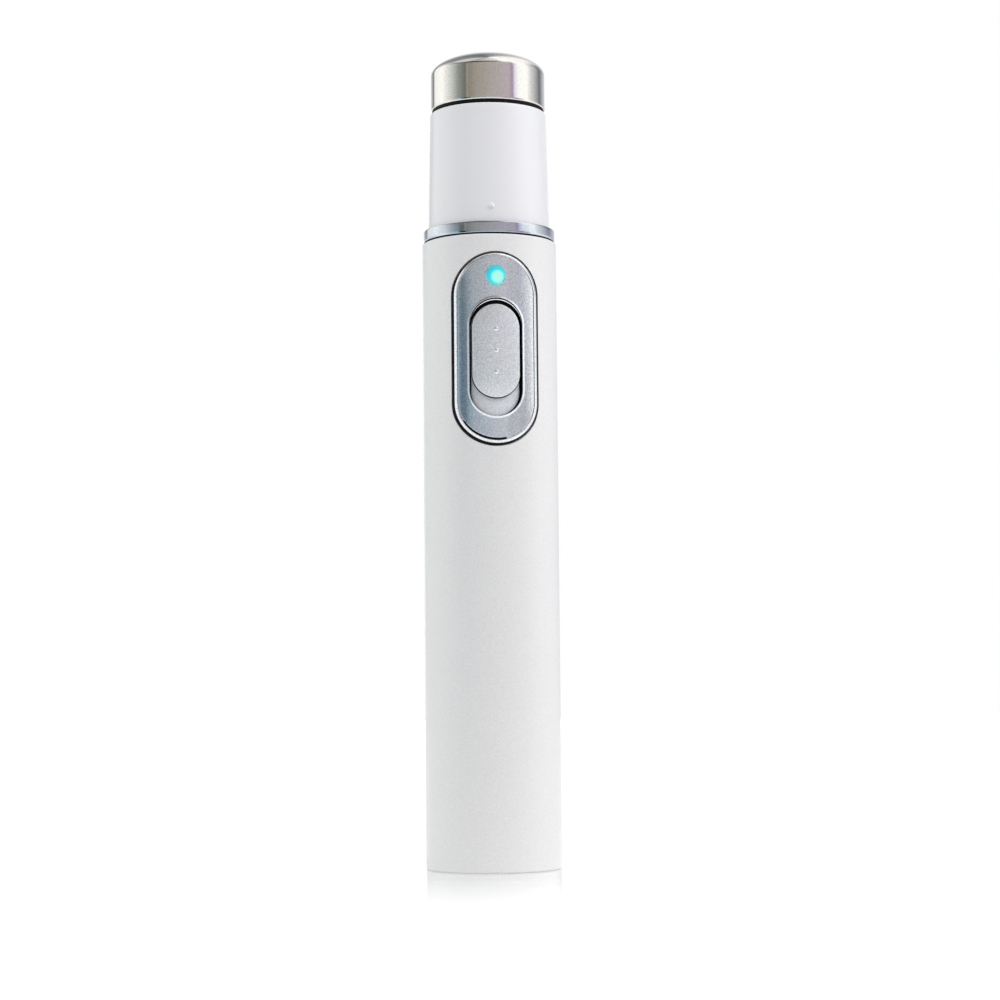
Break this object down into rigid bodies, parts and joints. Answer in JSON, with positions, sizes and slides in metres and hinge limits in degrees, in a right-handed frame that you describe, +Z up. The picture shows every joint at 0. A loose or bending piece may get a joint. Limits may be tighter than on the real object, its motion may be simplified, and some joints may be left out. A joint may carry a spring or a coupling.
{
  "type": "blue light acne pen",
  "caption": "Slim upright skin-care wand with a polished light head, a slide switch with an indicator, and a screwed tail cap over its battery.",
  "frame": {"origin": "centre of the barrel's standing rim, on the surface that the pen stands on", "axes": "+Z up the pen's axis to the light head, -Y out of the switch, +X to the right when the switch is seen from the front"},
  "size_m": [0.0222, 0.0229, 0.135],
  "materials": {
    "pearl_plastic": "satin",
    "white_gloss": "gloss",
    "chrome_trim": "polished",
    "polished_steel": "polished",
    "black_rubber": "satin",
    "clear_lens": "gloss",
    "grey_plastic": "matte",
    "white_board": "satin",
    "blue_leds": "gloss",
    "satin_silver": "satin",
    "cyan_lens": "gloss",
    "cyan_led": "satin",
    "green_board": "satin",
    "zinc_steel": "satin",
    "nickel_steel": "satin",
    "brown_plastic": "satin",
    "black_plastic": "satin",
    "ferrite": "matte",
    "capacitor_sleeve": "satin",
    "red_wire": "satin",
    "black_wire": "satin",
    "cell_wrap": "gloss"
  },
  "bodies": {
    "housing": {"barrel": "pearl_plastic", "collar_ring": "chrome_trim", "head_neck": "white_gloss", "head_seal": "black_rubber", "treatment_head": "polished_steel", "head_window": "clear_lens", "light_cup": "white_gloss", "head_carrier": "grey_plastic", "led_board": "white_board", "treatment_leds": "blue_leds", "switch_bezel": "satin_silver", "indicator_lens": "cyan_lens", "indicator_led": "cyan_led", "inner_chassis": "grey_plastic", "circuit_board": "green_board", "board_screws": "zinc_steel", "switch_case": "brown_plastic", "switch_cover": "nickel_steel", "boost_inductor": "ferrite", "driver_chip": "black_plastic", "filter_capacitor": "capacitor_sleeve", "rectifier_diode": "black_plastic", "lead_red": "red_wire", "lead_black": "black_wire", "battery_cell": "cell_wrap", "positive_contact": "nickel_steel", "negative_strip": "nickel_steel"},
    "slider": {"slide_button": "satin_silver", "switch_lever": "black_plastic"},
    "tail_contact": {"contact_plate": "nickel_steel", "tail_spring": "nickel_steel"},
    "cap": {"tail_cap": "pearl_plastic"}
  },
  "joints": [
    {"name": "switch_slide", "type": "slide", "parent": "housing", "child": "slider", "axis": [0, 0, -1], "range_m": [0, 0.002]},
    {"name": "cap_travel", "type": "slide", "parent": "housing", "child": "tail_contact", "axis": [0, 0, -1], "range_m": [0, 0.006]},
    {"name": "cap_turn", "type": "hinge", "parent": "tail_contact", "child": "cap", "pos_m": [0, 0, 0.004], "axis": [0, 0, -1], "range_deg": [0, 1080]}
  ],
  "couplings": [
    {"joint": "cap_turn", "follows": "cap_travel", "rad_per_m": 3141.6}
  ]
}
